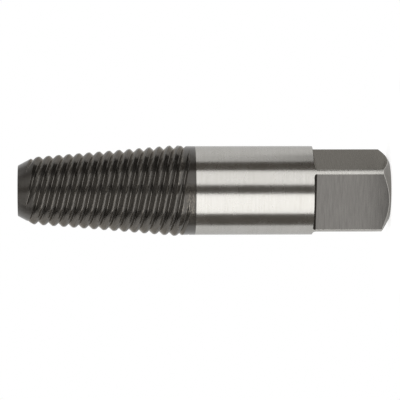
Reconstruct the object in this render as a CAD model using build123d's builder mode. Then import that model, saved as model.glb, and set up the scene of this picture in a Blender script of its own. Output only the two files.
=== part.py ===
from build123d import *
import math
import os

# Screw extractor, one piece of tool steel. It stands on the flat end of its driving square, with
# the origin at the centre of that face and +Z along the axis towards the small end. The flats of
# the square face +X, +Y, -X and -Y. Sizes are in millimetres and angles in degrees.

# Driving square, measured up from its end face
square_across_flats = 18.5
square_length = 21.8
square_root_radius = 0.8
end_face_diameter = 16.4
end_chamfer_angle = 30.0

# Ground shank, from the shoulder of the square to the foot of the back cone
shank_diameter = 25.0
shank_length = 36.1

# Tapered body, from the foot of the back cone to the small end
thread_length = 46.6
back_cone_length = 2.4
largest_crest_diameter = 25.6
taper_on_diameter = 1 / 6
small_end_diameter = 14.2
small_end_cone_angle = 28.0

# Left-hand thread: V grooves that leave narrow crest lands and run out in the shank
thread_starts = 5
thread_lead = 14.14
thread_depth = 1.12
crest_land = 0.46
groove_runout = 1.5
runout_wall_angle = 45.0
thread_clocking = 57.8

# Lathe centre holes
centre_cone_angle = 60.0
square_centre_bore = 2.5
square_centre_mouth = 5.3
square_centre_depth = 6.0
small_end_centre_bore = 2.0
small_end_centre_mouth = 4.25
small_end_centre_depth = 5.0

# How far the cutting bodies run past the metal that they take away
groove_clearance = 0.15
flat_clearance = 1.0

# Heights along the axis
back_cone_foot = square_length + shank_length
largest_crest_height = back_cone_foot + back_cone_length
overall_length = back_cone_foot + thread_length
groove_end = back_cone_foot - groove_runout

# Radii and cones of the turned blank
shank_radius = shank_diameter / 2
end_face_radius = end_face_diameter / 2
largest_crest_radius = largest_crest_diameter / 2
small_end_radius = small_end_diameter / 2
end_chamfer_height = (shank_radius - end_face_radius) * math.tan(math.radians(end_chamfer_angle))
crest_slope = taper_on_diameter / 2
small_cone_slope = math.tan(math.radians(small_end_cone_angle))


def crest_radius(height):
    """Radius of the crest cone, carried on past both of its ends."""
    return largest_crest_radius - (height - largest_crest_height) * crest_slope


# The cone of the small end starts where it has the radius of the crest cone
small_cone_height = (crest_radius(overall_length) - small_end_radius) / (small_cone_slope - crest_slope)
small_cone_start = overall_length - small_cone_height

# The grooves start one pitch below their run-out and are swept in whole turns past the small end
thread_pitch = thread_lead / thread_starts
groove_start = groove_end - thread_pitch
groove_turns = math.ceil((overall_length + thread_pitch - groove_start) / thread_lead)
flank_width = (thread_pitch - crest_land) / 2
mouth_half_width = flank_width * (thread_depth + groove_clearance) / thread_depth
mouth_radius = crest_radius(groove_start) + groove_clearance
root_radius = crest_radius(groove_start) - thread_depth

# The helix on a cone takes its pitch along the cone's side, not along the axis
taper_angle = math.degrees(math.atan(crest_slope))
pitch_along_cone = thread_lead / math.cos(math.radians(taper_angle))

# The wall that ends the grooves rises from the shank's surface to below their roots
runout_wall_height = thread_depth * math.tan(math.radians(runout_wall_angle))


def root_turn(number):
    """One turn of the left-hand helix along a groove's root, counted up from the groove's start."""
    turn_start = groove_start + number * thread_lead
    return Helix(
        pitch=pitch_along_cone,
        height=thread_lead,
        radius=crest_radius(turn_start) - thread_depth,
        center=(0, 0, turn_start),
        cone_angle=-taper_angle,
        lefthand=True,
    )


root_helix = Wire([root_turn(number) for number in range(groove_turns)])

# One groove: a V profile in the plane of the axis, swept along the helix
with BuildPart() as groove:
    with BuildSketch(Plane.XZ):
        with BuildLine():
            Polyline(
                (root_radius, groove_start),
                (mouth_radius, groove_start - mouth_half_width),
                (mouth_radius, groove_start + mouth_half_width),
                close=True,
            )
        make_face()
    sweep(path=root_helix, is_frenet=True)

# One flat: the pass of a milling cutter along the +X side, with the cutter's rounded corner
with BuildPart() as flat_pass:
    with BuildSketch(Plane.XZ):
        with BuildLine():
            FilletPolyline(
                (square_across_flats / 2, -flat_clearance),
                (square_across_flats / 2, square_length),
                (shank_radius + flat_clearance, square_length),
                radius=square_root_radius,
            )
            Polyline(
                (shank_radius + flat_clearance, square_length),
                (shank_radius + flat_clearance, -flat_clearance),
                (square_across_flats / 2, -flat_clearance),
            )
        make_face()
    extrude(amount=shank_radius + flat_clearance, both=True)

with BuildPart() as screw_extractor:
    # Tapered body with its two cones, from the run-out of the grooves to the small end
    with BuildSketch(Plane.XZ):
        with BuildLine():
            Polyline(
                (0, groove_end),
                (shank_radius, groove_end),
                (shank_radius, back_cone_foot),
                (largest_crest_radius, largest_crest_height),
                (crest_radius(small_cone_start), small_cone_start),
                (small_end_radius, overall_length),
                (0, overall_length),
                close=True,
            )
        make_face()
    revolve(axis=Axis.Z)

    # Thread
    with PolarLocations(radius=0, count=thread_starts, start_angle=thread_clocking):
        add(groove.part, mode=Mode.SUBTRACT)

    # Shank and end chamfer, with the conical wall that closes the lower ends of the grooves
    with BuildSketch(Plane.XZ):
        with BuildLine():
            Polyline(
                (0, 0),
                (end_face_radius, 0),
                (shank_radius, end_chamfer_height),
                (shank_radius, groove_end),
                (shank_radius - thread_depth, groove_end + runout_wall_height),
                (0, groove_end + runout_wall_height),
                close=True,
            )
        make_face()
    revolve(axis=Axis.Z)

    # Driving square
    with PolarLocations(radius=0, count=4):
        add(flat_pass.part, mode=Mode.SUBTRACT)

    # Centre holes in both ends
    with Locations(Plane.XY.offset(overall_length)):
        CounterSinkHole(
            radius=small_end_centre_bore / 2,
            counter_sink_radius=small_end_centre_mouth / 2,
            depth=small_end_centre_depth,
            counter_sink_angle=centre_cone_angle,
        )
    with Locations(-Plane.XY):
        CounterSinkHole(
            radius=square_centre_bore / 2,
            counter_sink_radius=square_centre_mouth / 2,
            depth=square_centre_depth,
            counter_sink_angle=centre_cone_angle,
        )

screw_extractor.part.label = "screw_extractor"
os.makedirs("parts", exist_ok=True)
export_step(screw_extractor.part, "parts/screw_extractor.step")
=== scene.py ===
import math

import bmesh
import bpy
import numpy as np
from mathutils import Matrix, Vector


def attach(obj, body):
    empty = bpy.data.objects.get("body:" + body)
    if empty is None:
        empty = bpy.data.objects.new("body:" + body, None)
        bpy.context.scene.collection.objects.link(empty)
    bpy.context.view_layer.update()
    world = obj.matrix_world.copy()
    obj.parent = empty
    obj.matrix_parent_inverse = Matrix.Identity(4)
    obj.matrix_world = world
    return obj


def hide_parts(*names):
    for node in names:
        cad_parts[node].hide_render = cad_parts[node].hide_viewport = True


# Looks of the screw extractor: a tapered left-hand thread in black oxide, a ground shank and a
# milled driving square. It stands on the square's end, with +Z towards the small end. Lengths of
# the tool are in millimetres and become metres in its mesh.

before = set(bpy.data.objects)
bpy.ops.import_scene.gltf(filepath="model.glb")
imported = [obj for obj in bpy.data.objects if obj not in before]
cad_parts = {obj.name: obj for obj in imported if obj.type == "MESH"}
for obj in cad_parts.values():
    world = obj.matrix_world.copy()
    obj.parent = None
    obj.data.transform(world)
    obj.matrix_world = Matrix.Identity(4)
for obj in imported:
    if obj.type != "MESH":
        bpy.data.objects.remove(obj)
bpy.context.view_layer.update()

# One millimetre in metres
MM = 0.001

# Driving square
SQUARE_ACROSS_FLATS = 18.5
SQUARE_LENGTH = 21.8
SQUARE_ROOT_RADIUS = 0.8
END_FACE_RADIUS = 8.2
END_CHAMFER_ANGLE = 30.0

# Shank, which is ground bright up to the dark collar
SHANK_RADIUS = 12.5
COLLAR_START = 54.75
GROOVE_END = 56.4
BACK_CONE_FOOT = 57.9

# Tapered body
LARGEST_CREST_HEIGHT = 60.3
LARGEST_CREST_RADIUS = 12.8
CREST_SLOPE = 1 / 12
SMALL_END_RADIUS = 7.1
SMALL_END_CONE_ANGLE = 28.0
OVERALL_LENGTH = 104.5

# Left-hand thread
THREAD_STARTS = 5
THREAD_LEAD = 14.14
THREAD_PITCH = THREAD_LEAD / THREAD_STARTS
THREAD_DEPTH = 1.12
CREST_LAND = 0.46
ROOT_LAND = 0.18
THREAD_CLOCKING = 57.8
RUNOUT_WALL_SLOPE = 1.0

# Centre holes: radius of the bore, radius of the mouth, depth of the bore
CENTRE_CONE_ANGLE = 60.0
DRILL_POINT_ANGLE = 118.0
SQUARE_CENTRE = (1.25, 2.65, 6.0)
SMALL_END_CENTRE = (1.0, 2.125, 5.0)

# How far each broken edge or fillet reaches from its corner
TURNED_EDGE = 0.12
FLAT_EDGE = 0.1
CREST_EDGE = 0.1
ROOT_EDGE = 0.06
MOUTH_EDGE = 0.08

# Steps of the mesh's grid: across half a flat, half a corner of the square and the fillet, and
# round a broken edge of the sides and of the ends
FLAT_STEPS = 28
CORNER_STEPS = 2
FILLET_STEPS = 8
EDGE_STEPS = 3
END_EDGE_STEPS = 2

# Heights of the grid's rows along the flats and of the row in the middle of the shank
FLAT_ROWS = (5.0, 10.0, 15.0, 20.0)
SHANK_MIDDLE = (SQUARE_LENGTH + COLLAR_START) / 2

# Part of the way to its neighbour that a corner's rounding may take up
LONGEST_ROUNDING = 0.48

# Distance at which points of the grid count as one
SAME_POINT = 0.002


def tan_deg(angle):
    """Tangent of an angle in degrees."""
    return math.tan(math.radians(angle))


def crest_radius(height):
    """Radius of the cone that the crests lie on."""
    return LARGEST_CREST_RADIUS - (height - LARGEST_CREST_HEIGHT) * CREST_SLOPE


def blank_outline():
    """Heights and radii of the turned blank's corners, from the grooves' end to the small end."""
    slope = tan_deg(SMALL_END_CONE_ANGLE)
    rise = (crest_radius(OVERALL_LENGTH) - SMALL_END_RADIUS) / (slope - CREST_SLOPE)
    cone_start = OVERALL_LENGTH - rise
    return np.array([
        (GROOVE_END, SHANK_RADIUS),
        (BACK_CONE_FOOT, SHANK_RADIUS),
        (LARGEST_CREST_HEIGHT, LARGEST_CREST_RADIUS),
        (cone_start, crest_radius(cone_start)),
        (OVERALL_LENGTH - TURNED_EDGE, SMALL_END_RADIUS + TURNED_EDGE * slope),
        (OVERALL_LENGTH, SMALL_END_RADIUS - TURNED_EDGE),
    ])


BLANK = blank_outline()
SMALL_CONE_START = BLANK[3, 0]


def blank_radius(height):
    """Radius of the turned blank, before the grooves are cut."""
    return np.interp(height, BLANK[:, 0], BLANK[:, 1])


# Angle at the axis from the middle of a flat to its edge
HALF_FLAT_ANGLE = math.acos(SQUARE_ACROSS_FLATS / 2 / SHANK_RADIUS)


def column_angles():
    """Angles of the lengthwise grid lines, close together at the edges of the square."""
    edge = math.degrees(HALF_FLAT_ANGLE)
    near = math.degrees(FLAT_EDGE / SHANK_RADIUS)
    half = np.concatenate([
        np.linspace(0, edge - near, FLAT_STEPS + 1)[:-1],
        [edge - near, edge - near / 2, edge, edge + near / 2],
        np.linspace(edge + near, 45, CORNER_STEPS + 1),
    ])
    quarter = np.concatenate([-half[:0:-1], half[:-1]])
    round_once = np.concatenate([quarter + 90 * flat for flat in range(4)])
    return np.radians(np.append(round_once, round_once[0] + 360))


ANGLES = column_angles()


def off_flat(angles):
    """Angle of each grid line from the middle of its nearest flat."""
    return (angles + math.pi / 4) % (math.pi / 2) - math.pi / 4


def blunt_min(first, second, blend):
    """The smaller of two radii, blended where they are nearly equal so that the edge is blunt."""
    near = np.maximum(blend - np.abs(first - second), 0) / blend
    return np.minimum(first, second) - near * near * blend / 4


def square_radius(distance):
    """Radius on each grid line where a face at this distance from the axis meets the shank."""
    return blunt_min(distance / np.cos(off_flat(ANGLES)), SHANK_RADIUS, FLAT_EDGE)


def column_points(*points):
    """One (radius, height) point per grid line for each pair; a value may differ from line to line."""
    full = np.zeros((len(ANGLES), len(points), 2))
    for index, (radius, height) in enumerate(points):
        full[:, index, 0] = radius
        full[:, index, 1] = height
    return full


def towards(corner, neighbour, distance):
    """The point at this distance from a corner on the way to its neighbour, short of halfway."""
    way = neighbour - corner
    length = np.linalg.norm(way, axis=1, keepdims=True)
    share = distance / np.maximum(length, distance)
    return corner + way * np.minimum(share, LONGEST_ROUNDING)


def rounded(points, reach, steps):
    """Replaces each corner that has a reach by a short curve in this many steps."""
    rows = [points[:, 0]]
    for index, distance in enumerate(reach[1:-1], start=1):
        corner = points[:, index]
        if not distance:
            rows.append(corner)
            continue
        start = towards(corner, points[:, index - 1], distance)
        end = towards(corner, points[:, index + 1], distance)
        for share in np.linspace(0, 1, steps + 1):
            rows.append(start * (1 - share) ** 2 + corner * 2 * share * (1 - share) + end * share ** 2)
    rows.append(points[:, -1])
    return np.stack(rows, axis=1)


def centre_hole(size, face_height, direction):
    """Points of a centre hole from its drill point to its mouth; direction points out of the metal."""
    bore, mouth, depth = size
    cone = (mouth - bore) / tan_deg(CENTRE_CONE_ANGLE / 2)
    point = bore / tan_deg(DRILL_POINT_ANGLE / 2)
    return [
        (0, face_height - direction * (depth + point)),
        (bore, face_height - direction * depth),
        (bore, face_height - direction * cone),
        (mouth, face_height),
    ]


def square_end():
    """Centre hole, end face and end chamfer of the driving square, up to the chamfer's edge.

    The last point only turns that edge towards the flats, so it is left out.
    """
    flat_radius = square_radius(SQUARE_ACROSS_FLATS / 2)
    chamfer_top = (flat_radius - END_FACE_RADIUS) * tan_deg(END_CHAMFER_ANGLE)
    points = column_points(
        *centre_hole(SQUARE_CENTRE, 0, -1),
        (END_FACE_RADIUS, 0),
        (flat_radius, chamfer_top),
        (flat_radius, SQUARE_LENGTH / 2),
    )
    reach = [0, 0, 0, MOUTH_EDGE, TURNED_EDGE, FLAT_EDGE, 0]
    return rounded(points, reach, END_EDGE_STEPS)[:, :-1]


def square_sides():
    """The flats and the corners between them, up to the fillet and the shoulder of the shank.

    The last point only turns the shoulder's edge along the shank, so it is left out.
    """
    flat_distance = SQUARE_ACROSS_FLATS / 2
    fillet_centre = flat_distance + SQUARE_ROOT_RADIUS
    fillet_foot = SQUARE_LENGTH - SQUARE_ROOT_RADIUS
    cosine = (fillet_centre - SHANK_RADIUS * np.cos(off_flat(ANGLES))) / SQUARE_ROOT_RADIUS
    last_turn = np.arccos(np.clip(cosine, 0, 1))
    flat_radius = square_radius(flat_distance)
    rows = [(flat_radius, height) for height in FLAT_ROWS]
    for step in range(FILLET_STEPS + 1):
        turn = last_turn * step / FILLET_STEPS
        distance = fillet_centre - SQUARE_ROOT_RADIUS * np.cos(turn)
        rows.append((square_radius(distance), fillet_foot + SQUARE_ROOT_RADIUS * np.sin(turn)))
    shoulder = fillet_foot + SQUARE_ROOT_RADIUS * np.sin(last_turn)
    rows.append((SHANK_RADIUS, shoulder))
    rows.append((SHANK_RADIUS, SHANK_MIDDLE))
    reach = [0] * (len(rows) - 2) + [TURNED_EDGE, 0]
    return rounded(column_points(*rows), reach, EDGE_STEPS)[:, :-1]


def shank():
    """The ground cylinder up to the dark collar."""
    heights = np.linspace(SHANK_MIDDLE, COLLAR_START, 3)
    return column_points(*[(SHANK_RADIUS, height) for height in heights])


def collar():
    """The dark collar, up to where the grooves end."""
    return column_points((SHANK_RADIUS, (COLLAR_START + GROOVE_END) / 2), (SHANK_RADIUS, GROOVE_END))


# Depth over width of a groove's flank, and the passes that find where the flank comes out
FLANK_SLOPE = THREAD_DEPTH / ((THREAD_PITCH - CREST_LAND) / 2)
FLANK_PASSES = 40

# Grooves beyond both ends of the thread, so that each grid line is filled
SPARE_GROOVES = 2


def groove_root(centre):
    """Radius of the point of a groove's V; past the small end it stays above the rim."""
    return crest_radius(np.minimum(centre, OVERALL_LENGTH)) - THREAD_DEPTH


def flank_top(centre, side):
    """Height at which a groove's flank comes out of the blank, found by repeated substitution."""
    root = groove_root(centre)
    height = centre
    for _ in range(FLANK_PASSES):
        height = centre + side * np.maximum(blank_radius(height) - root, 0) / FLANK_SLOPE
    return height


def first_groove():
    """Height of the first groove's centre on each grid line."""
    turns = (math.radians(THREAD_CLOCKING) - ANGLES) / (2 * math.pi)
    return GROOVE_END - THREAD_PITCH + THREAD_LEAD * turns


def thread():
    """The grooves and the lands between them, on grid lines that follow the left-hand helix."""
    first_centre = first_groove()
    lowest = int((GROOVE_END - first_centre.max()) / THREAD_PITCH) - SPARE_GROOVES
    highest = int((OVERALL_LENGTH - first_centre.min()) / THREAD_PITCH) + SPARE_GROOVES
    rows = []
    reach = []
    for number in range(lowest, highest):
        centre = first_centre + number * THREAD_PITCH
        lower = flank_top(centre, -1)
        upper = flank_top(centre, 1)
        next_lower = flank_top(centre + THREAD_PITCH, -1)
        floor_radius = groove_root(centre) + FLANK_SLOPE * ROOT_LAND / 2
        floor_start = np.maximum(centre - ROOT_LAND / 2, lower)
        floor_end = np.minimum(centre + ROOT_LAND / 2, upper)
        land = (upper + next_lower) / 2
        for corner in BLANK[1:-1, 0]:
            land = np.where((upper < corner) & (corner < next_lower), corner, land)
        for height, radius, distance in (
            (lower, blank_radius(lower), CREST_EDGE),
            (floor_start, np.minimum(floor_radius, blank_radius(floor_start)), ROOT_EDGE),
            (floor_end, np.minimum(floor_radius, blank_radius(floor_end)), ROOT_EDGE),
            (upper, blank_radius(upper), CREST_EDGE),
            (land, blank_radius(land), 0),
        ):
            rows.append((radius, np.minimum(height, OVERALL_LENGTH)))
            reach.append(distance)
    return behind_wall(rounded(column_points(*rows), reach, EDGE_STEPS))


def behind_wall(points):
    """Moves what lies before the grooves' end wall to the line where the wall meets them."""
    wall = SHANK_RADIUS - (points[:, :, 1] - GROOVE_END) * RUNOUT_WALL_SLOPE
    above = points[:, :, 0] - wall
    first = np.argmax(above >= 0, axis=1)
    for line, index in enumerate(first):
        low = above[line, index - 1]
        share = low / (low - above[line, index])
        meeting = points[line, index - 1] * (1 - share) + points[line, index] * share
        points[line, :index] = meeting
    return points


def small_end():
    """The small end's face and its centre hole."""
    points = column_points(
        (SMALL_END_RADIUS - TURNED_EDGE, OVERALL_LENGTH),
        *centre_hole(SMALL_END_CENTRE, OVERALL_LENGTH, 1)[::-1],
    )
    return rounded(points, [0, MOUTH_EDGE, 0, 0, 0], END_EDGE_STEPS)


# Finishes of the mesh's faces, in the order of its materials
TURNED, MILLED, GROUND, OXIDE = range(4)

# Values that the mesh holds at each point for its materials
GROOVE_DEPTH = "groove_depth"
CREST = "crest"
# Bare steel: wear on the crests, and a painted highlight on one side of the collar
WEAR_AND_HIGHLIGHT = "wear"
# Share of painted shade in the rounded corners where the flats meet the shank
CORNER_SHADE = "scale"

# Sockets of the Mix node, which has its own inputs for numbers and for colours
NUMBER_A, NUMBER_B = 2, 3
COLOUR_A, COLOUR_B = 6, 7
COLOUR_RESULT = 2


def colour(code):
    """Linear red, green, blue and alpha of an sRGB colour written as six hex digits."""
    channels = [int(code[index:index + 2], 16) / 255 for index in (0, 2, 4)]
    linear = [c / 12.92 if c <= 0.04045 else ((c + 0.055) / 1.055) ** 2.4 for c in channels]
    return (*linear, 1)


def add(tree, kind, inputs=(), **settings):
    """Adds one node; each input is its name or number with a value or a socket to link."""
    node = tree.nodes.new("ShaderNode" + kind)
    for name, value in settings.items():
        setattr(node, name, value)
    for name, value in inputs:
        if isinstance(value, bpy.types.NodeSocket):
            tree.links.new(value, node.inputs[name])
        else:
            node.inputs[name].default_value = value
    return node


def new_material(name):
    """An empty node material with its output node."""
    material = bpy.data.materials.new(name)
    material.use_nodes = True
    tree = material.node_tree
    tree.nodes.clear()
    return material, tree, add(tree, "OutputMaterial")


def in_steps_of(tree, *size_mm):
    """Place on the tool, counted in steps of these sizes in millimetres along X, Y and Z."""
    place = add(tree, "TexCoord").outputs["Object"]
    scale = [1 / (size * MM) for size in size_mm]
    return add(tree, "Mapping", [("Vector", place), ("Scale", scale)]).outputs["Vector"]


def ground_tool_steel():
    """Hardened tool steel, ground between centres.

    It mirrors the studio in sharp bands along the shank, and the wheel's marks, which run round
    it, smear that mirror lengthwise. The marks are drawn 0.35 mm apart, coarser than the real
    grit, so that they show. Handling leaves faint clouds a few millimetres wide.
    """
    material, tree, output = new_material("ground_tool_steel")
    marks = add(tree, "TexNoise", [
        ("Vector", in_steps_of(tree, 7, 7, 0.35)), ("Scale", 1.0), ("Detail", 3.0),
    ]).outputs["Fac"]
    clouds = add(tree, "TexNoise", [
        ("Vector", in_steps_of(tree, 5, 5, 5)), ("Scale", 1.0), ("Detail", 2.0),
    ]).outputs["Fac"]
    both = add(tree, "Math", [(0, marks), (1, clouds)], operation="ADD").outputs[0]
    base = add(tree, "MapRange", [("Value", both), ("From Min", 0.6), ("From Max", 1.4)])
    shade = add(tree, "Mix", [
        ("Factor", base.outputs[0]), (COLOUR_A, colour("A9A7A2")), (COLOUR_B, colour("B5B3AF")),
    ], data_type="RGBA")
    roughness = add(tree, "MapRange", [
        ("Value", clouds), ("From Min", 0.3), ("From Max", 0.7), ("To Min", 0.25), ("To Max", 0.29),
    ])
    bump = add(tree, "Bump", [("Height", marks), ("Distance", 0.004 * MM), ("Strength", 0.7)])
    shader = add(tree, "BsdfPrincipled", [
        ("Base Color", shade.outputs[COLOUR_RESULT]),
        ("Metallic", 1.0),
        ("Roughness", roughness.outputs[0]),
        ("Specular Tint", colour("E0E0E0")),
        ("Anisotropic", 0.8),
        ("Anisotropic Rotation", 0.25),
        ("Tangent", add(tree, "Tangent", direction_type="RADIAL", axis="Z").outputs[0]),
        ("Normal", bump.outputs[0]),
    ])
    tree.links.new(shader.outputs[0], output.inputs["Surface"])
    return material


def milled_hardened_steel():
    """Tool steel milled and then hardened, which leaves it dull and grey.

    The cutter's faint marks run across the axis. They are drawn 0.35 mm apart, a coarse feed.
    The rounded corners at the shank are painted near black, a painted shade.
    """
    material, tree, output = new_material("milled_hardened_steel")
    marks = add(tree, "TexNoise", [
        ("Vector", in_steps_of(tree, 5, 5, 0.35)), ("Scale", 1.0), ("Detail", 4.0),
    ]).outputs["Fac"]
    shade = add(tree, "MapRange", [("Value", marks), ("From Min", 0.25), ("From Max", 0.75)])
    steel = add(tree, "Mix", [
        ("Factor", shade.outputs[0]), (COLOUR_A, colour("4F4D4B")), (COLOUR_B, colour("605E5B")),
    ], data_type="RGBA").outputs[COLOUR_RESULT]
    # Painted shade: the rounded corners at the shank are painted near black
    scale = add(tree, "Attribute", attribute_name=CORNER_SHADE).outputs["Fac"]
    base = add(tree, "Mix", [
        ("Factor", scale), (COLOUR_A, steel), (COLOUR_B, colour("2A2724")),
    ], data_type="RGBA")
    roughness = add(tree, "MapRange", [
        ("Value", marks), ("From Min", 0.25), ("From Max", 0.75), ("To Min", 0.22), ("To Max", 0.32),
    ])
    bump = add(tree, "Bump", [("Height", marks), ("Distance", 0.01 * MM), ("Strength", 0.6)])
    shader = add(tree, "BsdfPrincipled", [
        ("Base Color", base.outputs[COLOUR_RESULT]),
        ("Metallic", 1.0),
        ("Roughness", roughness.outputs[0]),
        ("Specular Tint", colour("E8E5DF")),
        ("Normal", bump.outputs[0]),
    ])
    tree.links.new(shader.outputs[0], output.inputs["Surface"])
    return material


def turned_hardened_steel():
    """Tool steel turned and then hardened: dull grey, with the lathe tool's fine rings.

    The rings are drawn 0.15 mm apart, a fine feed.
    """
    material, tree, output = new_material("turned_hardened_steel")
    marks = add(tree, "TexNoise", [
        ("Vector", in_steps_of(tree, 12, 12, 0.15)), ("Scale", 1.0), ("Detail", 2.0),
    ]).outputs["Fac"]
    shade = add(tree, "MapRange", [("Value", marks), ("From Min", 0.25), ("From Max", 0.75)])
    base = add(tree, "Mix", [
        ("Factor", shade.outputs[0]), (COLOUR_A, colour("716E69")), (COLOUR_B, colour("7C7974")),
    ], data_type="RGBA")
    bump = add(tree, "Bump", [("Height", marks), ("Distance", 0.01 * MM), ("Strength", 0.4)])
    shader = add(tree, "BsdfPrincipled", [
        ("Base Color", base.outputs[COLOUR_RESULT]),
        ("Metallic", 1.0),
        ("Roughness", 0.42),
        ("Normal", bump.outputs[0]),
    ])
    tree.links.new(shader.outputs[0], output.inputs["Surface"])
    return material


def black_oxide():
    """Black oxide on turned and threaded tool steel: a brown-black coat with an oily sheen.

    The coat is magnetite. Its index of refraction, near 2.4, is matched to the photo at 2.2 and
    gives the sheen its strength. The thread tool has burnished the grooves, so they mirror the
    lamps in dark grey bands, while the collar and the cone are duller. In the grooves the tool's
    marks follow the helix, at equal depths, and elsewhere the lathe's rings run round the axis;
    both smear the sheen lengthwise. They are drawn 0.15 and 0.2 mm apart, coarser than the real
    ones, so that they show. On the leading edge of each crest the coat is rubbed through in specks
    and short streaks about 0.25 mm wide, where bare steel glints. On the side of the collar that
    mirrors the lower softbox, the same bare specks are a painted highlight that brightens that band.
    """
    material, tree, output = new_material("black_oxide")
    depth = add(tree, "Attribute", attribute_name=GROOVE_DEPTH).outputs["Fac"]
    level = add(tree, "Math", [(0, depth), (1, 0.15 * MM)], operation="DIVIDE").outputs[0]
    groove_marks = add(tree, "TexNoise", [
        ("Vector", in_steps_of(tree, 4, 4, 4)), ("W", level), ("Scale", 1.0), ("Detail", 3.0),
    ], noise_dimensions="4D").outputs["Fac"]
    rings = add(tree, "TexNoise", [
        ("Vector", in_steps_of(tree, 5, 5, 0.2)), ("Scale", 1.0), ("Detail", 3.0),
    ]).outputs["Fac"]
    rubbed = add(tree, "TexNoise", [
        ("Vector", in_steps_of(tree, 0.6, 0.6, 0.25)), ("Scale", 1.0), ("Detail", 3.0),
    ]).outputs["Fac"]
    in_groove = add(tree, "MapRange", [("Value", depth), ("From Max", 0.12 * MM)]).outputs[0]
    marks = add(tree, "Mix", [
        ("Factor", in_groove), (NUMBER_A, rings), (NUMBER_B, groove_marks),
    ]).outputs[0]
    glint = add(tree, "MapRange", [("Value", rubbed), ("From Min", 0.45), ("From Max", 0.6)])
    crest = add(tree, "Attribute", attribute_name=CREST).outputs["Fac"]
    # Bare steel: wear on the crests, and a painted highlight where the collar mirrors the lower
    # softbox
    wear_and_highlight_share = add(tree, "Attribute", attribute_name=WEAR_AND_HIGHLIGHT).outputs["Fac"]
    wear = add(tree, "Math", [(0, glint.outputs[0]), (1, wear_and_highlight_share)], operation="MULTIPLY").outputs[0]
    shade = add(tree, "MapRange", [("Value", marks), ("From Min", 0.25), ("From Max", 0.75)])
    outer = add(tree, "Mix", [
        ("Factor", shade.outputs[0]), (COLOUR_A, colour("201D1A")), (COLOUR_B, colour("2D2A26")),
    ], data_type="RGBA").outputs[COLOUR_RESULT]
    inner = add(tree, "Mix", [
        ("Factor", shade.outputs[0]), (COLOUR_A, colour("53504C")), (COLOUR_B, colour("6E6B67")),
    ], data_type="RGBA").outputs[COLOUR_RESULT]
    coat = add(tree, "Mix", [
        ("Factor", in_groove), (COLOUR_A, outer), (COLOUR_B, inner),
    ], data_type="RGBA").outputs[COLOUR_RESULT]
    # Bare steel colour, for the crests' wear and for the collar's painted highlight
    base = add(tree, "Mix", [
        ("Factor", wear), (COLOUR_A, coat), (COLOUR_B, colour("7E7971")),
    ], data_type="RGBA")
    burnished = add(tree, "Math", [(0, in_groove), (1, 0.88)], operation="MULTIPLY").outputs[0]
    metal = add(tree, "Math", [(0, wear), (1, burnished)], operation="MAXIMUM").outputs[0]
    spread = add(tree, "MapRange", [
        ("Value", marks), ("From Min", 0.25), ("From Max", 0.75), ("To Min", -0.03), ("To Max", 0.03),
    ]).outputs[0]
    threaded = add(tree, "Math", [(0, crest), (1, in_groove)], operation="MAXIMUM").outputs[0]
    polish = add(tree, "MapRange", [("Value", threaded), ("To Min", 0.36), ("To Max", 0.22)])
    roughness = add(tree, "Math", [(0, spread), (1, polish.outputs[0])], operation="ADD")
    bump = add(tree, "Bump", [("Height", marks), ("Distance", 0.02 * MM), ("Strength", 0.7)])
    shader = add(tree, "BsdfPrincipled", [
        ("Base Color", base.outputs[COLOUR_RESULT]),
        ("Metallic", metal),
        ("Roughness", roughness.outputs[0]),
        ("IOR", 2.2),
        ("Specular Tint", colour("C8C4BE")),
        ("Anisotropic", 0.97),
        ("Anisotropic Rotation", 0.25),
        ("Tangent", add(tree, "Tangent", direction_type="RADIAL", axis="Z").outputs[0]),
        ("Normal", bump.outputs[0]),
    ])
    tree.links.new(shader.outputs[0], output.inputs["Surface"])
    return material


# Depth below the blank at which a crest's finish ends
CREST_FINISH_DEPTH = 0.1

# Where a crest's wear starts, counted from the groove below it, and over how much it grows to the
# whole, both as shares of the pitch
LEADING_EDGE = 0.44
LEADING_EDGE_RISE = 0.1

# The collar's side that mirrors the lower softbox, left bare as a painted highlight, in degrees
# round the axis: its middle, and how far on both sides the patch is whole and where it ends
COLLAR_HIGHLIGHT_SIDE = -88
COLLAR_HIGHLIGHT_CORE = 18.2
COLLAR_HIGHLIGHT_REACH = 29.5

# Length over which the painted shade in the corners of the square fades out
CORNER_SHADE_FADE = 0.2


def worn_crests(heights, crest):
    """Share of wear on the crests, whose edge towards the small end bites first."""
    across = ((heights - first_groove()[:, None]) / THREAD_PITCH) % 1
    return crest * np.clip((across - LEADING_EDGE) / LEADING_EDGE_RISE, 0, 1)


def collar_highlight_patch(heights):
    """Share of painted highlight on the collar: bare steel on the side that mirrors the lower softbox,
    fading out on both sides.
    """
    core, reach = np.cos(np.radians([COLLAR_HIGHLIGHT_CORE, COLLAR_HIGHLIGHT_REACH]))
    turned = np.cos(ANGLES - math.radians(COLLAR_HIGHLIGHT_SIDE))
    share = np.clip((turned - reach) / (core - reach), 0, 1)
    return np.where((heights > COLLAR_START) & (heights < BACK_CONE_FOOT), share[:, None], 0)


def painted_corner_shade(points):
    """Share of painted shade in the rounded corners where the flats meet the shank."""
    off_face = points[:, :, 0] * np.cos(off_flat(ANGLES))[:, None] - SQUARE_ACROSS_FLATS / 2
    up_corner = points[:, :, 1] - (SQUARE_LENGTH - SQUARE_ROOT_RADIUS)
    return (off_face < SQUARE_ROOT_RADIUS + CORNER_SHADE_FADE) * np.clip(up_corner / CORNER_SHADE_FADE, 0, 1)


def tool_grid():
    """Radius and height of each point of the tool's grid, and the finish below each of its rows.

    The edge of the end chamfer shines like the ground corners.
    """
    end = square_end()
    blocks = [
        (end[:, :-2], TURNED),
        (end[:, -2:], GROUND),
        (square_sides(), MILLED),
        (shank(), GROUND),
        (collar(), OXIDE),
        (thread(), OXIDE),
        (small_end(), OXIDE),
    ]
    points = np.concatenate([block for block, _ in blocks], axis=1)
    finish = np.concatenate([np.full(block.shape[1], number) for block, number in blocks])
    return points, finish


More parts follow.
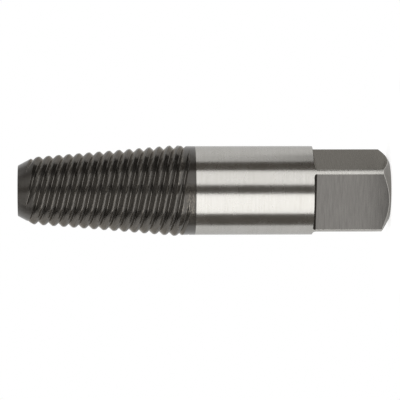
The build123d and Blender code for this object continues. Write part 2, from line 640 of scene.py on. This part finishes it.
def places_in_metres(points):
    """Place of each point in metres, from its radius, its height and its grid line's angle."""
    radii = points[:, :, 0]
    angles = ANGLES[:, None]
    across = (radii * np.cos(angles), radii * np.sin(angles), points[:, :, 1])
    return np.stack(across, axis=2).reshape(-1, 3) * MM


def grid_faces(lines, rows):
    """Four corners of each face, between neighbouring lines and rows of the grid."""
    line, row = np.meshgrid(np.arange(lines - 1), np.arange(rows - 1), indexing="ij")
    corner = (line * rows + row).ravel()
    return np.stack([corner, corner + rows, corner + rows + 1, corner + 1], axis=1)


def face_finishes(finish):
    """Finish of each face; the corners between the flats keep the shank's ground surface."""
    middles = (ANGLES[:-1] + ANGLES[1:]) / 2
    on_corner = np.abs(off_flat(middles)) > HALF_FLAT_ANGLE - FLAT_EDGE / SHANK_RADIUS
    finishes = np.broadcast_to(finish[1:], (len(middles), len(finish) - 1)).copy()
    finishes[on_corner[:, None] & (finishes == MILLED)] = GROUND
    return finishes


def point_values(points, finish):
    """What the materials ask for at each point: groove depth in metres, and shares from 0 to 1."""
    heights = points[:, :, 1]
    depth = np.where(heights > GROOVE_END, blank_radius(heights) - points[:, :, 0], 0)
    threaded = (heights > BACK_CONE_FOOT) & (heights < SMALL_CONE_START)
    crest = np.where(threaded, np.clip(1 - depth / CREST_FINISH_DEPTH, 0, 1), 0)
    return {
        GROOVE_DEPTH: depth * MM,
        CREST: crest,
        # Crest wear, and a painted highlight on one side of the collar
        WEAR_AND_HIGHLIGHT: worn_crests(heights, crest) + collar_highlight_patch(heights),
        # Painted shade in the corners of the square
        CORNER_SHADE: (finish == MILLED) * painted_corner_shade(points),
    }


def close_up(mesh):
    """Joins the points that fall together, at the axis, along the seam and where rows end."""
    surface = bmesh.new()
    surface.from_mesh(mesh)
    bmesh.ops.remove_doubles(surface, verts=surface.verts, dist=SAME_POINT * MM)
    surface.to_mesh(mesh)
    surface.free()
    mesh.shade_smooth()


def tool_mesh():
    """One closed mesh of the whole tool, from the square's centre hole to the small end's."""
    points, finish = tool_grid()
    faces = grid_faces(*points.shape[:2])
    mesh = bpy.data.meshes.new("screw_extractor")
    mesh.from_pydata(places_in_metres(points).tolist(), [], faces.tolist())
    finishes = face_finishes(finish).ravel().astype(np.int32)
    mesh.polygons.foreach_set("material_index", finishes)
    for name, values in point_values(points, finish).items():
        mesh.attributes.new(name, "FLOAT", "POINT").data.foreach_set("value", values.ravel())
    close_up(mesh)
    return mesh


def new_object(name, data):
    """Adds an object with this mesh, lamp or camera to the scene."""
    item = bpy.data.objects.new(name, data)
    bpy.context.scene.collection.objects.link(item)
    return item


def screw_extractor():
    """The dressed tool, in place of its plain node."""
    mesh = tool_mesh()
    for finish in (turned_hardened_steel, milled_hardened_steel, ground_tool_steel, black_oxide):
        mesh.materials.append(finish())
    piece = new_object("screw_extractor_body", mesh)
    piece.modifiers.new("weighted_normals", "WEIGHTED_NORMAL")
    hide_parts("screw_extractor")
    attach(piece, "root")


# The camera is level with the tool's thread and rolled, so that the tool lies across the picture.
# Its bearing and pan are in degrees, and its distance, height and drop in millimetres. The last
# value is the slope of the tool's axis in the picture.
CAMERA_BEARING = 21.0
CAMERA_DISTANCE = 823.2
CAMERA_HEIGHT = 87.93
CAMERA_PAN = 2.41
CAMERA_DROP = 2.62
AXIS_SLOPE = 0.0019

# Lens, fitted to the photo's pixels, sensor in millimetres and range of view in metres
FOCAL_LENGTH_PIXELS = 2924
PICTURE_WIDTH_PIXELS = 400
SENSOR_WIDTH = 36
NEAREST_SEEN = 0.05
FARTHEST_SEEN = 20

# Directions from the tool to the camera, up in the picture, and towards the square on its right
BEARING = math.radians(CAMERA_BEARING)
TO_CAMERA = Vector((math.sin(BEARING), -math.cos(BEARING), 0))
PICTURE_UP = Vector((math.cos(BEARING), math.sin(BEARING), 0))
TO_SQUARE = Vector((0, 0, -1))


def camera():
    """A long lens, nearly square to the tool, with the small end on the left of the picture."""
    data = bpy.data.cameras.new("camera")
    data.sensor_width = SENSOR_WIDTH
    data.lens = FOCAL_LENGTH_PIXELS / PICTURE_WIDTH_PIXELS * SENSOR_WIDTH
    data.clip_start = NEAREST_SEEN
    data.clip_end = FARTHEST_SEEN
    item = new_object("camera", data)
    pan = math.radians(CAMERA_PAN)
    up = (PICTURE_UP + TO_SQUARE * AXIS_SLOPE).normalized()
    level_right = (TO_SQUARE - PICTURE_UP * AXIS_SLOPE).normalized()
    back = TO_CAMERA * math.cos(pan) - level_right * math.sin(pan)
    right = up.cross(back).normalized()
    place = TO_CAMERA * CAMERA_DISTANCE - PICTURE_UP * CAMERA_DROP + Vector((0, 0, CAMERA_HEIGHT))
    turn = Matrix((right, up, back)).transposed().to_4x4()
    item.matrix_world = Matrix.Translation(place * MM) @ turn
    bpy.context.scene.camera = item


def bearing(angle):
    """Level direction at this many degrees from the camera towards the top of the picture."""
    turn = math.radians(angle)
    return TO_CAMERA * math.cos(turn) + PICTURE_UP * math.sin(turn)


# Places of the studio's lamps and cards in metres. They stand round the tool, level with its
# middle, or lie flat above it, on the floor and under the floor.
STUDIO_MID_HEIGHT = 0.06
SOFTBOX_DISTANCE = 0.7
SOFTBOX_HEIGHT = 0.8
FLAG_DISTANCE = 0.8
FLAG_HEIGHT = 1.2
CEILING_HEIGHT = 0.42
LOW_CARD_HEIGHT = 0.0004
UNDER_CARD_HEIGHT = -0.25
WHOLE_WIDTH = (-0.9, 0.9)

CARD_COLOUR = "8A847D"
DARK_CARD_COLOUR = "4C4843"
PALE_CARD_COLOUR = "F0EDE8"


def facing(item, angle, distance):
    """Stands a flat thing upright at this bearing, facing the tool."""
    direction = bearing(angle)
    item.matrix_world = (
        Matrix.Translation(direction * distance + Vector((0, 0, STUDIO_MID_HEIGHT)))
        @ direction.to_track_quat("Z", "Y").to_matrix().to_4x4()
    )


def softbox(name, first, last, radiance):
    """An upright lamp that fills the bearings from first to last and can't be seen itself."""
    data = bpy.data.lights.new(name, "AREA")
    data.shape = "RECTANGLE"
    data.size = 2 * SOFTBOX_DISTANCE * tan_deg((last - first) / 2)
    data.size_y = SOFTBOX_HEIGHT
    data.energy = radiance * math.pi * data.size * data.size_y
    item = new_object(name, data)
    item.visible_camera = False
    facing(item, (first + last) / 2, SOFTBOX_DISTANCE)


def card(name, width, height, paint_colour=CARD_COLOUR):
    """A card that the camera doesn't see, but the tool mirrors."""
    mesh = bpy.data.meshes.new(name)
    corners = [(-width / 2, -height / 2, 0), (width / 2, -height / 2, 0),
               (width / 2, height / 2, 0), (-width / 2, height / 2, 0)]
    mesh.from_pydata(corners, [], [(0, 1, 2, 3)])
    material, tree, output = new_material(name)
    paint = add(tree, "BsdfDiffuse", [("Color", colour(paint_colour))])
    tree.links.new(paint.outputs[0], output.inputs["Surface"])
    mesh.materials.append(material)
    item = new_object(name, mesh)
    item.visible_camera = False
    return item


def flag(name, first, last, distance=FLAG_DISTANCE, height=FLAG_HEIGHT):
    """An upright grey card that fills the bearings from first to last."""
    item = card(name, 2 * distance * tan_deg((last - first) / 2), height)
    facing(item, (first + last) / 2, distance)


def level_card(name, height, front, side, paint_colour):
    """A level card that shows only in mirrors and leaves the floor its light.

    It fills these distances in front of the tool's axis and towards the top of the picture.
    """
    item = card(name, front[1] - front[0], side[1] - side[0], paint_colour)
    middle = TO_CAMERA * sum(front) / 2 + PICTURE_UP * sum(side) / 2
    item.matrix_world = (
        Matrix.Translation(middle + Vector((0, 0, height)))
        @ Matrix.Rotation(BEARING - math.pi / 2, 4, "Z")
    )
    item.visible_diffuse = False
    item.visible_shadow = False


def seen_directly(tree):
    """1 for what the camera sees directly, in a mirror or through glass, and 0 for other light."""
    path = add(tree, "LightPath")
    either = add(tree, "Math", [
        (0, path.outputs["Is Camera Ray"]), (1, path.outputs["Is Glossy Ray"]),
    ], operation="MAXIMUM")
    return add(tree, "Math", [
        (0, either.outputs[0]), (1, path.outputs["Is Transmission Ray"]),
    ], operation="MAXIMUM").outputs[0]


# Strength of the white world's light on the tool, where the camera sees it at 1
WORLD_LIGHT = 0.5


def white_surroundings():
    """A white world, which the camera and mirrors see at full strength."""
    world = bpy.data.worlds.new("white_surroundings")
    bpy.context.scene.world = world
    world.use_nodes = True
    tree = world.node_tree
    tree.nodes.clear()
    output = add(tree, "OutputWorld")
    strength = add(tree, "MapRange", [
        ("Value", seen_directly(tree)), ("To Min", WORLD_LIGHT), ("To Max", 1.0),
    ])
    light = add(tree, "Background", [
        ("Color", colour("FFFFFF")), ("Strength", strength.outputs["Result"]),
    ])
    tree.links.new(light.outputs[0], output.inputs["Surface"])


# The floor's radius in metres, the number of its sides and the strength of its own light
FLOOR_RADIUS = 0.04
FLOOR_SIDES = 96
FLOOR_GLOW = 0.7


def floor():
    """A round pale floor that takes the tool's shadow and fades to pure white at its rim."""
    disc = bmesh.new()
    bmesh.ops.create_circle(disc, cap_ends=True, segments=FLOOR_SIDES, radius=FLOOR_RADIUS)
    mesh = bpy.data.meshes.new("floor")
    disc.to_mesh(mesh)
    disc.free()
    material, tree, output = new_material("pale_floor")
    place = add(tree, "TexCoord").outputs["Object"]
    distance = add(tree, "VectorMath", [(0, place)], operation="LENGTH").outputs["Value"]
    rim = add(tree, "MapRange", [
        ("Value", distance), ("From Min", FLOOR_RADIUS / 2), ("From Max", FLOOR_RADIUS),
    ]).outputs[0]
    seen = seen_directly(tree)
    paint = add(tree, "BsdfDiffuse", [("Color", colour("E6E6E6"))]).outputs[0]
    strength = add(tree, "Math", [(0, seen), (1, FLOOR_GLOW)], operation="MULTIPLY").outputs[0]
    glow = add(tree, "Emission", [("Strength", strength)]).outputs[0]
    lit = add(tree, "AddShader", [(0, paint), (1, glow)]).outputs[0]
    white = add(tree, "Emission", [("Strength", seen)]).outputs[0]
    surface = add(tree, "MixShader", [("Fac", rim), (1, lit), (2, white)]).outputs[0]
    tree.links.new(surface, output.inputs["Surface"])
    mesh.materials.append(material)
    new_object("floor", mesh)


def upright_lights():
    """Two softboxes round the tool and the flags between and beside them.

    The flags' bearings give the shank its dark bands, and the softboxes' its bright ones.
    """
    softbox("upper_softbox", 14, 51.5, radiance=0.81)
    softbox("lower_softbox", -62.5, -9.5, radiance=1.31)
    flag("camera_flag", -9.5, 14, distance=1.0, height=1.6)
    flag("upper_flag", 51.5, 79)
    flag("lower_flag", -103, -62.5)


def level_cards():
    """Cards above and below the tool, which the thread's flanks, the cone and the square mirror."""
    for name, height, front, side, paint_colour in (
        ("ceiling_card", CEILING_HEIGHT, (-0.03, 0.15), WHOLE_WIDTH, DARK_CARD_COLOUR),
        ("front_ceiling_card", CEILING_HEIGHT, (0.15, 0.4), WHOLE_WIDTH, PALE_CARD_COLOUR),
        ("far_ceiling_card", CEILING_HEIGHT, (0.4, 0.9), WHOLE_WIDTH, DARK_CARD_COLOUR),
        ("under_card", UNDER_CARD_HEIGHT, (0.05, 0.4), WHOLE_WIDTH, DARK_CARD_COLOUR),
        ("upper_low_card", LOW_CARD_HEIGHT, (-0.03, 0.05), (0.04, 0.2), DARK_CARD_COLOUR),
        ("near_low_card", LOW_CARD_HEIGHT, (-0.003, 0.02), (0.014, 0.04), DARK_CARD_COLOUR),
        ("back_ceiling_card", CEILING_HEIGHT, (-0.4, -0.03), (0.34, 0.8), CARD_COLOUR),
    ):
        level_card(name, height, front, side, paint_colour)


screw_extractor()
camera()
upright_lights()
level_cards()
floor()
white_surroundings()
bpy.context.scene.view_settings.view_transform = "Standard"
